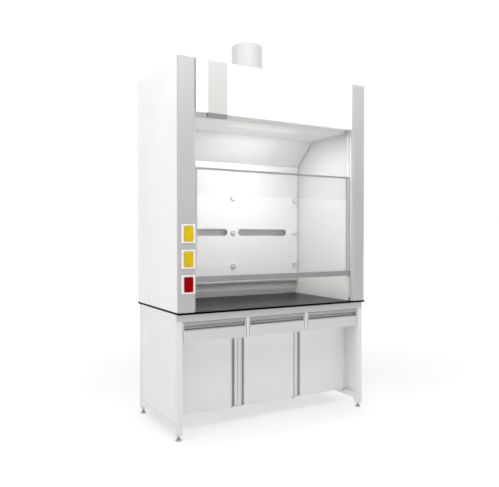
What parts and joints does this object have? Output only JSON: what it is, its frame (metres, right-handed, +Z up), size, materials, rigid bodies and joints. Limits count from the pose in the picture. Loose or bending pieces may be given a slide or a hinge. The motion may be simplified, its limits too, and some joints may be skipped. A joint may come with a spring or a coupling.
{
  "type": "fume hood",
  "caption": "Free-standing bench fume hood: counterweighted glass sash, baffled chamber with duct collar, worktop, drawers and cupboards on a tubular base.",
  "frame": {"origin": "on the floor under the middle of the outline", "axes": "+Z up, the sash and doors face -Y, +X to the right as seen from the front"},
  "size_m": [1.675, 0.856, 3.01],
  "materials": {
    "frame_paint": "satin powder coat",
    "zinc": "zinc plated",
    "laminate": "white laminate",
    "worktop_resin": "satin solid resin",
    "post_paint": "satin powder coat",
    "panel_paint": "satin powder coat",
    "strip_paint": "satin powder coat",
    "lining": "smooth solid laminate",
    "knob_plastic": "glossy",
    "duct_plastic": "smooth",
    "lamp_steel": "satin",
    "lamp_diffuser": "opal",
    "collar_paint": "satin",
    "aluminium": "anodised",
    "sash_glass": "clear toughened",
    "rubber": "matt",
    "nylon": "matt",
    "pulley_plastic": "satin",
    "weight_iron": "painted",
    "rope_steel": "stranded",
    "socket_white": "glossy",
    "socket_core": "matt",
    "lid_yellow": "glossy",
    "lid_red": "glossy",
    "drawer_steel": "satin powder coat"
  },
  "bodies": {
    "hood": {"side_frames": "frame_paint", "cross_rails": "frame_paint", "levelling_feet": "zinc", "base_side_panels": "laminate", "worktop": "worktop_resin", "cabinet_carcass": "laminate", "door_pivots": "zinc", "drawer_dividers": "frame_paint", "drawer_runners": "zinc", "post_left": "post_paint", "post_right": "post_paint", "side_panels": "panel_paint", "rear_cover": "panel_paint", "cover_screws": "zinc", "top_cover": "panel_paint", "fascia": "panel_paint", "fascia_strip": "strip_paint", "chamber_liners": "lining", "ceiling_panel": "lining", "baffles": "lining", "baffle_knobs": "knob_plastic", "lamp_housing": "lamp_steel", "lamp_lens": "lamp_diffuser", "exhaust_plenum": "duct_plastic", "duct_collar": "collar_paint", "sash_guides": "aluminium", "fixed_pane": "sash_glass", "sash_stops": "rubber", "pulley_brackets": "zinc", "socket_frames": "socket_white", "socket_inserts": "socket_core", "rope_crowns": "rope_steel", "rope_front_runs": "rope_steel", "rope_rear_runs": "rope_steel"},
    "sash": {"sash_frame": "aluminium", "sash_glass": "sash_glass", "sash_handle": "aluminium", "sash_glides": "nylon"},
    "counterweight_left": {"counterweight_left": "weight_iron"},
    "pulley_left": {"pulley_left": "pulley_plastic"},
    "counterweight_right": {"counterweight_right": "weight_iron"},
    "pulley_right": {"pulley_right": "pulley_plastic"},
    "drawer_left": {"drawer_box_left": "drawer_steel", "drawer_front_left": "laminate", "drawer_handle_left": "aluminium"},
    "door_left": {"door_left": "laminate", "door_handle_left": "aluminium"},
    "drawer_centre": {"drawer_box_centre": "drawer_steel", "drawer_front_centre": "laminate", "drawer_handle_centre": "aluminium"},
    "door_centre": {"door_centre": "laminate", "door_handle_centre": "aluminium"},
    "drawer_right": {"drawer_box_right": "drawer_steel", "drawer_front_right": "laminate", "drawer_handle_right": "aluminium"},
    "door_right": {"door_right": "laminate", "door_handle_right": "aluminium"},
    "socket_lid_top": {"socket_lid_top": "lid_yellow"},
    "socket_lid_middle": {"socket_lid_middle": "lid_yellow"},
    "socket_lid_bottom": {"socket_lid_bottom": "lid_red"}
  },
  "joints": [
    {"name": "sash_slide", "type": "slide", "parent": "hood", "child": "sash", "axis": [0, 0, 1], "range_m": [-0.18, 0.5], "deforming": ["rope_front_runs"]},
    {"name": "counterweight_left_slide", "type": "slide", "parent": "hood", "child": "counterweight_left", "axis": [0, 0, 1], "range_m": [-0.5, 0.18], "deforming": ["rope_rear_runs"]},
    {"name": "pulley_left_turn", "type": "hinge", "parent": "hood", "child": "pulley_left", "pos_m": [-0.755, -0.293, 2.575], "axis": [1, 0, 0], "range_deg": [-360, 130]},
    {"name": "counterweight_right_slide", "type": "slide", "parent": "hood", "child": "counterweight_right", "axis": [0, 0, 1], "range_m": [-0.5, 0.18]},
    {"name": "pulley_right_turn", "type": "hinge", "parent": "hood", "child": "pulley_right", "pos_m": [0.755, -0.293, 2.575], "axis": [1, 0, 0], "range_deg": [-360, 130]},
    {"name": "drawer_left_slide", "type": "slide", "parent": "hood", "child": "drawer_left", "axis": [0, -1, 0], "range_m": [0, 0.35]},
    {"name": "drawer_centre_slide", "type": "slide", "parent": "hood", "child": "drawer_centre", "axis": [0, -1, 0], "range_m": [0, 0.35]},
    {"name": "drawer_right_slide", "type": "slide", "parent": "hood", "child": "drawer_right", "axis": [0, -1, 0], "range_m": [0, 0.35]},
    {"name": "door_left_hinge", "type": "hinge", "parent": "hood", "child": "door_left", "pos_m": [-0.7775, -0.206, 0.4], "axis": [0, 0, -1], "range_deg": [0, 90]},
    {"name": "door_centre_hinge", "type": "hinge", "parent": "hood", "child": "door_centre", "pos_m": [0.2515, -0.206, 0.4], "axis": [0, 0, 1], "range_deg": [0, 90]},
    {"name": "door_right_hinge", "type": "hinge", "parent": "hood", "child": "door_right", "pos_m": [0.7775, -0.206, 0.4], "axis": [0, 0, 1], "range_deg": [0, 90]},
    {"name": "socket_lid_top_hinge", "type": "hinge", "parent": "hood", "child": "socket_lid_top", "pos_m": [-0.79255, -0.4245, 1.4505], "axis": [0, 0, -1], "range_deg": [0, 110], "stiffness_Nm_per_rad": 0.01, "springref_deg": -28.65},
    {"name": "socket_lid_middle_hinge", "type": "hinge", "parent": "hood", "child": "socket_lid_middle", "pos_m": [-0.79255, -0.4245, 1.2725], "axis": [0, 0, -1], "range_deg": [0, 110], "stiffness_Nm_per_rad": 0.01, "springref_deg": -28.65},
    {"name": "socket_lid_bottom_hinge", "type": "hinge", "parent": "hood", "child": "socket_lid_bottom", "pos_m": [-0.79255, -0.4245, 1.0965], "axis": [0, 0, -1], "range_deg": [0, 110], "stiffness_Nm_per_rad": 0.01, "springref_deg": -28.65}
  ],
  "couplings": [
    {"joint": "counterweight_left_slide", "follows": "sash_slide", "ratio": -1},
    {"joint": "pulley_left_turn", "follows": "sash_slide", "rad_per_m": -12.5},
    {"joint": "counterweight_right_slide", "follows": "sash_slide", "ratio": -1},
    {"joint": "pulley_right_turn", "follows": "sash_slide", "rad_per_m": -12.5}
  ]
}
